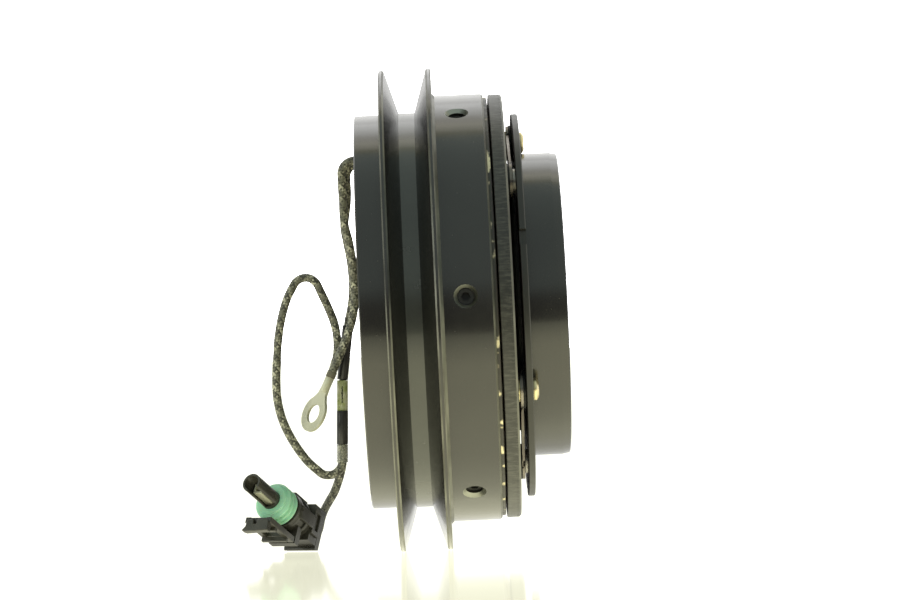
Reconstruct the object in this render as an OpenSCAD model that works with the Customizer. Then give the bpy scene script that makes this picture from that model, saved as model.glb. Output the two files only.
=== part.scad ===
// Electromagnetic clutch with a single V-groove pulley, its coil, and a lead set that
// ends in a ring terminal and a sealed one-way connector. Millimetres.
// The clutch turns about the X axis. X = 0 is the face of the coil's mounting plate, and
// +X points to the front cup. +Z is up, and angles about X are measured from -Y towards +Z.

/* [Pulley] */
// Diameter over the belt flanges
pulley_d = 152.4; // [148:0.1:156]
// Width of the V-groove at the flange tips
groove_w = 13.4; // [12:0.1:14]
// Depth of the V-groove
groove_depth = 13.8; // [11:0.1:13.8]
// Included angle of the V-groove, in degrees
groove_angle = 34; // [32:1:38]
// Width of each flange at its tip
tip_w = 1.5; // [1.2:0.1:2]
// Diameter of the plain skirt behind the groove
skirt_d = 124.4; // [122:0.1:126]
// Length of the skirt behind the rear flange
skirt_len = 8.3; // [7:0.1:9]
// How far the skirt reaches behind the coil's mounting face
skirt_back = 1.5; // [1:0.1:3]
// Diameter of the drum in front of the groove
drum_d = 134.8; // [133:0.1:137]
// Length of the drum
drum_len = 16; // [15:0.1:17]
// How many set screws hold the drum on the rotor
screw_count = 6; // [4:1:8]

/* [Rotor] */
// Bore of the pulley ring, which is the outer diameter of the rotor
rotor_d = 116.8; // [116.4:0.1:117.6]
// Diameter of the friction face
face_d = 132.4; // [131:0.1:133]
// How far the friction face stands out of the drum
face_proud = 1.1; // [0.9:0.1:1.4]
// Thickness of the rotor's front disc
disc_t = 5.3; // [5:0.1:6]

/* [Armature] */
// Outer diameter of the armature plate
armature_d = 133.8; // [132:0.1:135]
// Bore of the armature plate
armature_bore = 64; // [62:0.5:66]
// Thickness of the armature plate
armature_t = 4.3; // [4:0.1:4.6]
// Air gap between the friction face and the released armature
air_gap = 0.5; // [0.3:0.05:0.8]
// Radius of the circle on which the spring rivets stand
rivet_circle_r = 51.3; // [51.2:0.1:51.6]
// Angle from a plate rivet to the armature rivet of the same leaf spring
leaf_angle = 42; // [38:1:46]
// Thickness of a leaf spring
leaf_t = 0.8; // [0.6:0.1:1]
// Thickness of the spacers on both sides of the leaf springs
spacer_t = 0.9; // [0.8:0.1:1]

/* [Hub] */
// Diameter of the shaft bore
shaft_d = 19.05; // [18:0.05:20]
// Width of the keyway
key_w = 4.8; // [4:0.1:6]
// Outer diameter of the drive plate
plate_d = 121; // [119:0.5:123]
// Thickness of the drive plate
plate_t = 2.1; // [2:0.1:2.4]
// Outer diameter of the front cup
cup_d = 95.6; // [94:0.1:97]
// Length of the front cup
cup_len = 11.8; // [11:0.1:13]

/* [Coil] */
// Diameter of the circle of the mounting holes
bolt_circle_d = 56; // [55:0.5:57]
// Diameter of the mounting holes
bolt_hole_d = 6.6; // [6:0.1:7]
// Inner diameter of the coil shell
shell_id = 73; // [72.6:0.1:73.4]
// Outer diameter of the coil shell
shell_od = 106; // [105.4:0.1:106.4]

/* [Leads] */
// Diameter of the braided leads
lead_d = 2.7; // [2.3:0.1:2.7]
// Outer diameter of the connector's ribbed seal
seal_d = 12.8; // [12:0.1:13.2]
// Hole diameter of the ring terminal
terminal_hole_d = 6.3; // [5.5:0.1:6.5]

/* [Hidden] */
$fn = 96;

// Colours
black_paint = [0.07, 0.07, 0.07];
bare_steel = [0.62, 0.61, 0.57];
plated_steel = [0.72, 0.70, 0.60];
brass_tone = [0.78, 0.70, 0.45];
tin_tone = [0.88, 0.88, 0.78];
braid_tone = [0.70, 0.69, 0.60];
seal_green = [0.58, 0.82, 0.66];
dark_plastic = [0.17, 0.16, 0.15];

// Stations along the axis, from the rear to the front
edge = 0.4;
skirt_x = -skirt_back;
flange_x = skirt_x + skirt_len;
groove_x = flange_x + tip_w;
drum_x = groove_x + groove_w + tip_w;
drum_end_x = drum_x + drum_len;
face_x = drum_end_x + face_proud;
disc_x = face_x - disc_t;
armature_x = face_x + air_gap;
armature_end_x = armature_x + armature_t;
leaf_x = armature_end_x + spacer_t;
plate_x = leaf_x + leaf_t + spacer_t;
cup_x = plate_x + plate_t;
cup_end_x = cup_x + cup_len;

// Pulley and rotor
pulley_r = pulley_d / 2;
groove_r = pulley_r - groove_depth;
groove_run = groove_depth * tan(groove_angle / 2);
skirt_r = skirt_d / 2;
drum_r = drum_d / 2;
rotor_r = rotor_d / 2;
rotor_wall = 4.4;
rotor_rear_x = 4;
bearing_wall_r = 35.5;
bearing_wall_x = 8.4;
screw_x = 30.7;
screw_r = 2.5;
screw_len = 11;
screw_first = 3;
slot_rings = [[39.4, 42.6], [50.4, 53.6]];
slot_count = 6;
slot_bridge = 12;

// Bearing, with two rows of balls between the hub and the rotor
bearing_x = 11;
bearing_len = disc_x - bearing_x;
bearing_id_r = 20;
bearing_od_r = 31;
ball_circle_r = 25.5;
ball_r = 2.9;
ball_play = 0.3;
ball_count = 14;
ball_rows = [bearing_x + 6.4, bearing_x + bearing_len - 6.4];
race_gap_r = 2.1;
snap_t = 1.2;

// Coil
plate_seat_t = 3;
plate_seat_r = 44;
nose_bore_r = 22.5;
shell_wall = 2;
shell_rear_t = 2.5;
shell_x = plate_seat_t;
shell_end_x = disc_x - 1.7;
bobbin_x = shell_x + shell_rear_t;
bobbin_end_x = shell_end_x - 2.3;
bobbin_wall = 1.2;
bobbin_r = shell_id / 2 + shell_wall + 0.5;
bobbin_out_r = shell_od / 2 - shell_wall - 0.5;
potting_t = 1.8;
exit_r = 49;
exit_angle = 101;
exit_x = -1;
exit_half = 1.6;
exit_w = 7.6;
exit_h = 4;

// Hub, damper and drive plate
hub_rear_x = 8.5;
hub_shoulder_r = 22.4;
hub_head_r = 24;
hub_head_x = 42;
hub_web_x = 50;
hub_web_end_x = 57;
hub_end_x = 59;
hub_bolt_r = 4.3;
hub_recess_r = 13;
key_top_r = 11.9;
key_end_x = 48;
plate_bore_r = 40;
cup_r = cup_d / 2;
cup_wall = 2.5;
cup_flange_t = 2.2;
cup_lip = 2.6;
damper_x = armature_end_x + 0.8;
damper_end_x = cup_end_x - 1.6;

// Rivets and leaf springs
rivet_r = 2.5;
rivet_play = 0.05;
plate_rivet_angles = [for (i = [0:2]) 90 + 120 * i];
armature_rivet_angles = [for (a = plate_rivet_angles) a - leaf_angle];
rivet_head_r = 3.4;
rivet_head_h = 1.8;
rivet_foot_r = 3.8;
rivet_foot_h = 0.7;
spacer_r = 5.7;
leaf_end_r = 5.5;
leaf_waist = 8;
relief_r = 5.2;
notch_first = 20;
notch_w = 5;
notch_deep = 1.2;

// Routes of the leads, chosen by hand. The two coil leads twist once round each other.
lead_r = lead_d / 2;
ground_route = [
    [-1, 7.8, 48.4], [-2.4, 7.8, 48.6], [-3.8, 7.8, 48.4], [-5, 7.9, 47.8], [-6, 8, 46.8],
    [-6.65, 8.2, 45.5], [-6.85, 8.5, 44.1], [-6.85, 9.3, 39.5], [-6.75, 9.9, 36], [-6.85, 10.6, 32],
    [-6.6, 11.35, 27.7], [-5.6, 12.15, 22.9], [-4.8, 13.25, 16.5], [-4.5, 14.4, 9], [-4.6, 14.4, 4],
    [-5.6, 14.4, -1.5], [-7.3, 14.4, -6.5], [-9.6, 14.4, -11.8], [-11.6, 14.4, -16],
    [-12.9, 14.4, -18.6]
];
power_route = [
    [-1, 10.9, 47.8], [-2.4, 10.9, 47.6], [-3.6, 11, 46.9], [-4.6, 11.1, 45.9], [-5.25, 11.4, 44.7],
    [-5.45, 11.6, 43.3], [-5.4, 12.2, 39.5], [-5.6, 12.8, 36], [-6.2, 13.5, 32], [-6.9, 14.25, 27.7],
    [-6.3, 15.05, 22.9], [-5.4, 16.15, 16.5], [-5.1, 17.6, 9.5], [-5.7, 18.9, 3.5], [-6.7, 20, -1],
    [-7.4, 20.2, -4], [-10, 20.2, -21.4]
];
diode_route = [
    [-10.8, 18.8, -39.4], [-11, 18.8, -43], [-11.3, 18.8, -47.5], [-11.6, 18.8, -49.2],
    [-12.6, 18.7, -50.6], [-14, 18.5, -51.6], [-15.7, 18.2, -51.9], [-17.4, 17.9, -51.6],
    [-18.8, 17.6, -50.6], [-22.8, 16.8, -46.5], [-26.9, 16, -40], [-29.7, 15.6, -33.4],
    [-31, 15.4, -26.9], [-31.1, 15.4, -20.4], [-30.6, 15.6, -14], [-29.9, 15.8, -7.5], [-28.6, 16, -1],
    [-26.6, 16.4, 5.2], [-24.1, 16.7, 9.8], [-23.1, 16.8, 11], [-21.7, 16.9, 11.8], [-20.2, 16.9, 12],
    [-18.7, 17, 11.7], [-17.4, 17, 10.75], [-16.5, 17.1, 9.5], [-15.3, 17.2, 6.6], [-13.3, 17.2, 1.8],
    [-11.7, 17.2, -3], [-11, 17.2, -8], [-11.3, 17.2, -13], [-12.9, 17.2, -18.6]
];
connector_route = [
    [-10.5, 21.6, -32], [-11, 21.6, -41], [-11.3, 21.6, -48], [-12.4, 22.6, -52.5],
    [-14.4, 25.2, -57.5], [-16.6, 28.3, -61], [-18.4, 30.7, -64], [-19.5, 31.9, -66.8], [-20, 31.5, -68.8],
    [-20.5, 30.6, -70.4], [-21.3, 29.1, -71.4], [-22.3, 27.4, -71.6], [-23.1, 25.9, -71],
    [-25.46, 21.65, -68.33], [-27.8, 17.5, -65.6]
];

// Splice, diode and ring terminal
splice_split = 1.4;
splice_gap = 0.25;
splice_tilt = 2.8;
crimp_len = 10;
sleeve_wall = 0.35;
sleeve_play = 0.05;
diode_sleeve_len = 10.8;
clear_sleeve_len = 5.6;
clear_gap = 0.2;
collar_base = [-12.9, 15.8, -18.6];
terminal_tilt = 26.4;
terminal_turn = 54.5;
terminal_t = 0.9;
terminal_ring_r = 6;
terminal_reach = 14.8;
barrel_len = 7;

// Connector. In its own frame, +Z runs out of the tower, +X is the latch side.
conn_pos = [-34.1, 6, -58.3];
conn_tilt = 60.7;
conn_turn = 241.1;
tower_len = 12.9;
tower_r = 3.1;
tower_bore_r = 2.4;
tower_slot_w = 3.4;
tower_slot_turn = 20;
seal_len = 6.6;
neck_r = 4;
body_r = 5.8;
body_end = -16.8;
rear_end = -21.6;
rear_w = 11.6;
rear_h = 12.6;
cable_bore_r = 3;
cable_bore_end = -8;
latch_in = 8;
latch_w = 9.6;
latch_rear = -11;
latch_play = 0.3;
lock_t = 2.2;
lock_play = 0.2;

// Turned solid about the clutch's axis, from an outline of [x, radius] points
module turned(outline) {
    rotate([0, 90, 0])
        rotate_extrude()
            polygon([for (p = outline) [p[1], p[0]]]);
}

// Ring about the clutch's axis
module ring(r_in, r_out, x0, x1) {
    turned([[x0, r_in], [x0, r_out], [x1, r_out], [x1, r_in]]);
}

// Children turned about the clutch's axis, so that their +Z points to the angle
module at_angle(a) {
    rotate([90 - a, 0, 0]) children();
}

// Cylinder along X, at a radius and an angle
module axial(a, r, x0, x1, radius) {
    at_angle(a)
        translate([x0, 0, r])
            rotate([0, 90, 0])
                cylinder(h = x1 - x0, r = radius);
}

// Curved slot through a disc, over an angle that is centred on +Z
module arc_slot(r_in, r_out, span, x0, x1) {
    reach = 2 * r_out;
    intersection() {
        ring(r_in, r_out, x0, x1);
        rotate([0, 90, 0])
            linear_extrude(height = x1 + 1)
                polygon(concat([[0, 0]], [for (i = [-2:2]) reach * [-cos(i * span / 4), sin(i * span / 4)]]));
    }
}

// Flat bar with two round ends of the same width, its long side along Y
module slot_2d(length, width) {
    square([width, length - width], center = true);
    for (s = [-1, 1])
        translate([0, s * (length - width) / 2]) circle(d = width);
}

// Open ring with two lug ends, in the plane across the clutch's axis
module snap_ring(r_in, r_out, x0, gap) {
    difference() {
        ring(r_in, r_out, x0, x0 + snap_t);
        at_angle(-90)
            translate([x0 - 1, -gap / 2, 0])
                cube([snap_t + 2, gap, r_out + 1]);
    }
}

// Frame of the connector
module in_connector() {
    translate(conn_pos)
        rotate([0, 0, conn_turn])
            rotate([0, conn_tilt, 0])
                children();
}

// Frame of the splice: +Z down along the sleeves, from the bottom of the upper sleeve
module in_splice() {
    translate(last(power_route))
        rotate([0, 180 + splice_tilt, 0])
            children();
}

// Sweep of a round cord along a route, as one polyhedron of eight sides
cord_sides = 8;
function unit(v) = v / norm(v);
function last(list) = list[len(list) - 1];
function tangent(p, i) = unit(p[min(i + 1, len(p) - 1)] - p[max(i - 1, 0)]);
function square_to(v, t) = unit(v - (v * t) * t);
function normals(p, i = 0, found = []) =
    i == len(p) ? found
    : normals(p, i + 1, concat(found, [square_to(i == 0 ? [0, 1, 0.3] : last(found), tangent(p, i))]));
module cord(route, r) {
    n = cord_sides;
    side = normals(route);
    points = [
        for (i = [0:len(route) - 1])
            for (k = [0:n - 1])
                let (t = tangent(route, i), a = 360 * k / n)
                    route[i] + r * (cos(a) * side[i] + sin(a) * cross(t, side[i]))
    ];
    walls = [
        for (i = [0:len(route) - 2])
            for (k = [0:n - 1])
                for (half = [0, 1])
                    let (a = i * n + k, b = i * n + (k + 1) % n)
                        half == 0 ? [a, a + n, b] : [b, a + n, b + n]
    ];
    start = [[for (k = [0:n - 1]) k]];
    end = [[for (k = [n - 1:-1:0]) (len(route) - 1) * n + k]];
    polyhedron(points = points, faces = concat(start, walls, end), convexity = 8);
}

// Frame of the leads' exit from the coil, at a station along the axis, with +Z along +X
module at_exit(x) {
    at_angle(exit_angle)
        translate([x, 0, exit_r])
            rotate([0, 90, 0])
                children();
}

// ---- Coil and its mounting plate ----

module mounting_plate() {
    color(plated_steel)
        difference() {
            ring(nose_bore_r, plate_seat_r, 0, plate_seat_t);
            for (i = [0:3])
                axial(90 * i, bolt_circle_d / 2, -1, plate_seat_t + 1, bolt_hole_d / 2);
            axial(exit_angle, exit_r, -1, plate_seat_t + 1, 5.5);
        }
}

module coil_shell() {
    inner = shell_id / 2;
    outer = shell_od / 2;
    color(plated_steel)
        difference() {
            turned([
                [shell_x, inner], [shell_x, outer - 1], [shell_x + 1, outer], [shell_end_x, outer],
                [shell_end_x, outer - shell_wall], [bobbin_x, outer - shell_wall],
                [bobbin_x, inner + shell_wall], [shell_end_x, inner + shell_wall], [shell_end_x, inner]
            ]);
            at_exit(shell_x - 1)
                linear_extrude(height = shell_rear_t + 2) slot_2d(exit_w, exit_h);
        }
}

module coil_bobbin() {
    color("white")
        turned([
            [bobbin_x, bobbin_r], [bobbin_x, bobbin_out_r], [bobbin_x + bobbin_wall, bobbin_out_r],
            [bobbin_x + bobbin_wall, bobbin_r + bobbin_wall],
            [bobbin_end_x - bobbin_wall, bobbin_r + bobbin_wall],
            [bobbin_end_x - bobbin_wall, bobbin_out_r], [bobbin_end_x, bobbin_out_r],
            [bobbin_end_x, bobbin_r]
        ]);
}

module coil_winding() {
    color([0.62, 0.32, 0.16])
        ring(bobbin_r + bobbin_wall, bobbin_out_r - 0.6, bobbin_x + bobbin_wall, bobbin_end_x - bobbin_wall);
}

module coil_potting() {
    color([0.10, 0.12, 0.11])
        ring(shell_id / 2 + shell_wall, shell_od / 2 - shell_wall, bobbin_end_x, bobbin_end_x + potting_t);
}

module lead_grommet() {
    color(dark_plastic)
        difference() {
            union() {
                at_exit(exit_x) linear_extrude(height = bobbin_x - exit_x) slot_2d(exit_w, exit_h);
                at_exit(shell_x - 1.2) linear_extrude(height = 1.2) slot_2d(exit_w + 1.4, exit_h + 1.4);
            }
            for (s = [-1, 1])
                at_exit(exit_x + 0.8)
                    translate([0, s * exit_half, 0]) cylinder(h = bobbin_x, r = 0.9);
        }
}

// ---- Leads, splice and ring terminal ----

module ground_lead() {
    color(braid_tone) cord(ground_route, lead_r);
}

module power_lead() {
    color(braid_tone) cord(power_route, lead_r);
}

module diode_lead() {
    color(braid_tone) cord(diode_route, lead_r);
}

module connector_lead() {
    color(braid_tone) cord(connector_route, lead_r);
}

module in_terminal() {
    translate(collar_base)
        rotate([0, 180 + terminal_tilt, 0])
            children();
}

module terminal_collar() {
    color([0.25, 0.22, 0.18])
        in_terminal()
            linear_extrude(height = 2) slot_2d(5.7, 3);
}

module ring_terminal() {
    color(tin_tone)
        in_terminal()
            difference() {
                union() {
                    translate([0, 0, 2])
                        linear_extrude(height = barrel_len - 2) slot_2d(4.6, 2.8);
                    rotate([90, 0, terminal_turn])
                        translate([0, 0, -terminal_t / 2])
                            linear_extrude(height = terminal_t) {
                                translate([0, terminal_reach]) circle(r = terminal_ring_r);
                                polygon([
                                    [-1.8, barrel_len - 2], [1.8, barrel_len - 2],
                                    [2.2, barrel_len + 1], [4.8, terminal_reach - 3], [-4.8, terminal_reach - 3],
                                    [-2.2, barrel_len + 1]
                                ]);
                            }
                }
                rotate([90, 0, terminal_turn])
                    translate([0, terminal_reach, -5])
                        cylinder(h = 10, d = terminal_hole_d);
            }
}

module splice_sleeve() {
    top = power_route[len(power_route) - 2];
    bottom = last(power_route);
    run = bottom - top;
    lean = atan2(-run[0], -run[2]);
    color(black_paint)
        translate(top)
            rotate([0, 180 + lean, 0])
                difference() {
                    cylinder(h = norm(run), r = lead_r + sleeve_play + sleeve_wall);
                    translate([0, 0, -1]) cylinder(h = norm(run) + 2, r = lead_r + sleeve_play);
                }
}

module splice_crimp() {
    color([0.62, 0.66, 0.42])
        in_splice()
            difference() {
                union() {
                    cylinder(h = splice_gap + 0.1, r = lead_r - 0.2);
                    translate([0, 0, splice_gap]) linear_extrude(height = crimp_len - splice_gap) slot_2d(5.2, 3.5);
                }
                translate([1.3, -0.2, 1.6]) cube([1, 0.4, 6]);
            }
}

// Flat sleeve that holds two leads side by side
module pair_sleeve(length) {
    inner_w = 2 * (splice_split + lead_r + sleeve_play) + 0.1;
    inner_h = 2 * (lead_r + sleeve_play) + 0.1;
    difference() {
        linear_extrude(height = length) slot_2d(inner_w + 2 * sleeve_wall, inner_h + 2 * sleeve_wall);
        translate([0, 0, -1]) linear_extrude(height = length + 2) slot_2d(inner_w, inner_h);
    }
}

module diode_sleeve() {
    color(black_paint)
        in_splice()
            translate([0, 0, crimp_len]) pair_sleeve(diode_sleeve_len);
}

module diode() {
    color("dimgray")
        in_splice() {
            translate([0, -splice_split, crimp_len]) cylinder(h = 1, r = 0.4);
            translate([0, -splice_split, crimp_len + 1]) cylinder(h = 6.4, r = 1.25);
        }
}

module clear_sleeve() {
    color([0.85, 0.87, 0.80, 0.5])
        in_splice()
            translate([0, 0, crimp_len + diode_sleeve_len + clear_gap]) pair_sleeve(clear_sleeve_len);
}

// ---- Connector ----

module connector_housing() {
    color(dark_plastic)
        in_connector()
            difference() {
                union() {
                    translate([0, 0, -1]) cylinder(h = tower_len + 1, r = tower_r);
                    translate([0, 0, -seal_len]) cylinder(h = seal_len - 0.6, r = neck_r);
                    translate([0, 0, body_end]) cylinder(h = -seal_len - body_end, r = body_r);
                    translate([-rear_h / 2, -rear_w / 2, rear_end]) cube([rear_h, rear_w, body_end - rear_end]);
                    for (z = [-9.5, -14.5])
                        translate([0, 0, z]) cylinder(h = 1.2, r = body_r + 0.7);
                    translate([4, -latch_w / 2, latch_rear - latch_play - 2.4]) cube([latch_in - 2, latch_w, 2.4]);
                }
                translate([0, 0, cable_bore_end - 1]) cylinder(h = tower_len - cable_bore_end + 2, r = tower_bore_r);
                translate([0, 0, rear_end - 1]) cylinder(h = cable_bore_end - rear_end + 1, r = cable_bore_r);
                rotate([0, 0, tower_slot_turn])
                    translate([0, -tower_slot_w / 2, 0.8]) cube([5, tower_slot_w, tower_len]);
            }
}

module connector_seal() {
    ribs = 3;
    rib_pitch = (seal_len - 0.6) / ribs;
    rib_root = seal_d / 2 - 0.8;
    outline = concat(
        [[neck_r, -seal_len]],
        [for (i = [0:ribs - 1]) for (p = [[rib_root, 0.1], [seal_d / 2, 0.6], [seal_d / 2, 1.2], [rib_root, 1.7]])
            [p[0], -seal_len + i * rib_pitch + p[1]]],
        [[rib_root, -0.6], [neck_r, -0.6]]
    );
    color(seal_green)
        in_connector() {
            rotate_extrude() polygon(outline);
            translate([0, 0, -0.6])
                difference() {
                    cylinder(h = 0.6, r = seal_d / 2 - 1.2);
                    translate([0, 0, -1]) cylinder(h = 3, r = tower_r);
                }
        }
}

module connector_contact() {
    color(tin_tone)
        in_connector()
            difference() {
                union() {
                    translate([-1.5, -1.5, -4]) cube([3, 3, tower_len - 0.6]);
                    translate([0, 0, -16.4]) cylinder(h = 12.6, r = 1.3);
                }
                translate([-0.9, -0.9, -3]) cube([1.8, 1.8, tower_len + 3]);
            }
}

module wire_seal() {
    color(seal_green)
        in_connector()
            difference() {
                translate([0, 0, rear_end + 0.2]) cylinder(h = 5.6, r = cable_bore_r);
                translate([0, 0, rear_end - 1]) cylinder(h = 8, r = lead_r + 0.02);
            }
}

module connector_latch() {
    color(dark_plastic)
        in_connector()
            difference() {
                union() {
                    translate([latch_in, -latch_w / 2, latch_rear]) cube([2, latch_w, 14]);
                    translate([latch_in, -latch_w / 2, 2.9]) cube([3.4, latch_w, 1.6]);
                    rotate([90, 0, 0])
                        linear_extrude(height = latch_w, center = true)
                            polygon([[latch_in, 4.4], [latch_in + 5.4, 4.4], [latch_in + 5.4, 5.2], [latch_in, 7.6]]);
                }
                translate([latch_in - 1, -2.8, -6.5]) cube([4, 5.6, 8]);
            }
}

module connector_lock() {
    color(dark_plastic)
        in_connector() {
            difference() {
                translate([-rear_h / 2, -rear_w / 2, rear_end - lock_play - lock_t])
                    cube([rear_h + 0.6, rear_w, lock_t]);
                translate([-rear_h / 2 - 1, -2.4, rear_end - 3]) cube([rear_h / 2 + 3.6, 4.8, 4]);
            }
            translate([rear_h / 2 + 0.7, 0, rear_end - 0.8])
                rotate([90, 0, 0])
                    cylinder(h = rear_w, r = 0.5, center = true);
        }
}

// ---- Pulley, rotor and bearing ----

module pulley_ring() {
    bottom_x = groove_x + groove_run;
    bottom_end_x = groove_x + groove_w - groove_run;
    lean = edge * tan(groove_angle / 2);
    color(black_paint)
        difference() {
            turned([
                [skirt_x, rotor_r], [skirt_x, skirt_r - edge], [skirt_x + edge, skirt_r], [flange_x, skirt_r],
                [flange_x, pulley_r - edge], [flange_x + edge, pulley_r],
                [groove_x - edge, pulley_r], [groove_x + lean, pulley_r - edge],
                [bottom_x, groove_r], [bottom_end_x, groove_r],
                [groove_x + groove_w - lean, pulley_r - edge], [groove_x + groove_w + edge, pulley_r],
                [drum_x - edge, pulley_r], [drum_x, pulley_r - edge],
                [drum_x, drum_r + 0.8], [drum_x + 0.8, drum_r],
                [drum_end_x - 0.6, drum_r], [drum_end_x, drum_r - 0.6], [drum_end_x, rotor_r]
            ]);
            for (i = [0:screw_count - 1])
                at_angle(screw_first + 360 * i / screw_count)
                    translate([screw_x, 0, rotor_r - 2]) {
                        cylinder(h = 12, r = screw_r + 0.1);
                        translate([0, 0, drum_r - rotor_r + 0.8]) cylinder(h = 1.3, r1 = screw_r + 0.1, r2 = 3.7);
                    }
        }
}

module rotor_body() {
    wall_in = rotor_r - rotor_wall;
    color(bare_steel)
        difference() {
            turned([
                [rotor_rear_x, wall_in], [rotor_rear_x, rotor_r], [drum_end_x, rotor_r],
                [drum_end_x, face_d / 2], [face_x - 0.2, face_d / 2], [face_x, face_d / 2 - 0.2],
                [face_x, 28.5], [disc_x, 28.5], [disc_x, bearing_od_r],
                [bearing_x, bearing_od_r], [bearing_x, bearing_od_r + snap_t],
                [bearing_x - snap_t, bearing_od_r + snap_t], [bearing_x - snap_t, bearing_od_r],
                [bearing_wall_x, bearing_od_r], [bearing_wall_x, bearing_wall_r],
                [disc_x, bearing_wall_r], [disc_x, wall_in]
            ]);
            for (i = [0:screw_count - 1])
                at_angle(screw_first + 360 * i / screw_count)
                    translate([screw_x, 0, wall_in - 1]) cylinder(h = rotor_wall + 2, r = screw_r);
            for (band = slot_rings)
                for (i = [0:slot_count - 1])
                    rotate([360 * i / slot_count, 0, 0])
                        arc_slot(band[0], band[1], 360 / slot_count - slot_bridge, disc_x - 1, face_x + 1);
        }
}

module rotor_screws() {
    foot_r = rotor_r - rotor_wall + 0.4;
    color([0.2, 0.2, 0.2])
        for (i = [0:screw_count - 1])
            at_angle(screw_first + 360 * i / screw_count)
                translate([screw_x, 0, foot_r])
                    difference() {
                        cylinder(h = screw_len, r = screw_r);
                        translate([0, 0, screw_len - 2.6]) cylinder(h = 3, r = 1.45, $fn = 6);
                    }
}

// One race of the bearing, with a groove for each row of balls
module race(r_in, r_out) {
    difference() {
        ring(r_in, r_out, bearing_x, bearing_x + bearing_len);
        for (x = ball_rows)
            translate([x, 0, 0])
                rotate([0, 90, 0])
                    rotate_extrude() translate([ball_circle_r, 0]) circle(r = ball_r + ball_play);
    }
}

module outer_race() {
    color("silver") race(ball_circle_r + race_gap_r, bearing_od_r);
}

module inner_race() {
    color("silver") race(bearing_id_r, ball_circle_r - race_gap_r);
}

module bearing_seals() {
    color([0.15, 0.12, 0.1])
        for (x = [bearing_x + 0.4, bearing_x + bearing_len - 1.6])
            ring(ball_circle_r - race_gap_r + 0.3, ball_circle_r + race_gap_r, x, x + 1.2);
}

module ball_cage() {
    color([0.75, 0.68, 0.5])
        difference() {
            ring(ball_circle_r - 0.9, ball_circle_r + 0.9, bearing_x + 2.2, bearing_x + bearing_len - 2.2);
            for (x = ball_rows)
                for (i = [0:ball_count - 1])
                    at_angle(360 * i / ball_count)
                        translate([x, 0, ball_circle_r - 3]) cylinder(h = 6, r = ball_r + 0.1);
        }
}

module bearing_balls() {
    color("silver")
        for (x = ball_rows)
            for (i = [0:ball_count - 1])
                at_angle(360 * i / ball_count)
                    translate([x, 0, ball_circle_r]) sphere(r = ball_r);
}

module rotor_snap_ring() {
    color(bare_steel) snap_ring(29, bearing_od_r + snap_t, bearing_x - snap_t, 12);
}

module hub_snap_ring() {
    color(bare_steel) snap_ring(bearing_id_r - 1, 22.2, bearing_x - snap_t, 10);
}

// ---- Hub, damper, cup and drive plate ----

module hub() {
    color(bare_steel)
        difference() {
            turned([
                [hub_rear_x, shaft_d / 2 + 0.6], [hub_rear_x, bearing_id_r - 0.6],
                [hub_rear_x + 0.6, bearing_id_r], [bearing_x - snap_t, bearing_id_r],
                [bearing_x - snap_t, bearing_id_r - 1], [bearing_x, bearing_id_r - 1],
                [bearing_x, bearing_id_r], [disc_x, bearing_id_r], [disc_x, hub_shoulder_r],
                [disc_x + 2.2, hub_shoulder_r], [hub_head_x, hub_head_r], [hub_end_x, hub_head_r],
                [hub_end_x, hub_recess_r], [hub_web_end_x, hub_recess_r], [hub_web_end_x, hub_bolt_r],
                [hub_web_x, hub_bolt_r], [hub_web_x, shaft_d / 2], [hub_rear_x + 0.6, shaft_d / 2]
            ]);
            translate([hub_rear_x - 1, -key_w / 2, 0]) cube([key_end_x - hub_rear_x + 1, key_w, key_top_r]);
        }
}

module damper_rubber() {
    neck = plate_bore_r;
    dish_r = (cup_r - cup_wall + hub_head_r) / 2;
    dish = 6.5;
    color([0.09, 0.09, 0.09])
        turned(concat(
            [
                [damper_x, hub_head_r], [damper_x, neck - 0.6], [damper_x + 0.6, neck],
                [cup_x + cup_flange_t, neck], [cup_x + cup_flange_t, cup_r - cup_wall],
                [damper_end_x, cup_r - cup_wall]
            ],
            [for (a = [0:30:180]) [damper_end_x - 0.6 * dish * sin(a), dish_r + dish * cos(a)]],
            [[damper_end_x, hub_head_r]]
        ));
}

module front_cup() {
    inner = cup_r - cup_wall;
    color(black_paint)
        turned([
            [cup_x, plate_bore_r], [cup_x, cup_r], [cup_end_x - cup_lip, cup_r],
            [cup_end_x - 0.3, cup_r - 0.4], [cup_end_x, cup_r - 0.8],
            [cup_end_x, inner + 0.4], [cup_end_x - 0.4, inner],
            [cup_x + cup_flange_t, inner], [cup_x + cup_flange_t, plate_bore_r]
        ]);
}

module drive_plate() {
    outer = plate_d / 2;
    color(black_paint)
        difference() {
            turned([
                [plate_x, plate_bore_r], [plate_x, outer - 0.2], [plate_x + 0.2, outer],
                [cup_x - 0.3, outer], [cup_x, outer - 0.3], [cup_x, plate_bore_r]
            ]);
            for (a = plate_rivet_angles)
                axial(a, rivet_circle_r, plate_x - 1, cup_x + 1, rivet_r);
            for (a = armature_rivet_angles)
                axial(a, rivet_circle_r, plate_x - 1, cup_x + 1, relief_r);
            for (i = [0:2])
                at_angle(notch_first + 120 * i)
                    translate([plate_x - 1, -notch_w / 2, outer - notch_deep])
                        cube([plate_t + 2, notch_w, 3]);
        }
}

// Shank with a head at one end, along X at the rivet circle
module plate_rivet(a) {
    axial(a, rivet_circle_r, leaf_x, cup_x, rivet_r);
    axial(a, rivet_circle_r, leaf_x - rivet_foot_h, leaf_x, rivet_foot_r);
    at_angle(a)
        translate([0, 0, rivet_circle_r])
            turned([
                [cup_x, 0], [cup_x, rivet_head_r], [cup_x + 1.1, rivet_head_r],
                [cup_x + rivet_head_h, rivet_head_r - 1], [cup_x + rivet_head_h, 0]
            ]);
}

module plate_rivets() {
    color(brass_tone)
        for (a = plate_rivet_angles)
            plate_rivet(a);
}

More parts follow.
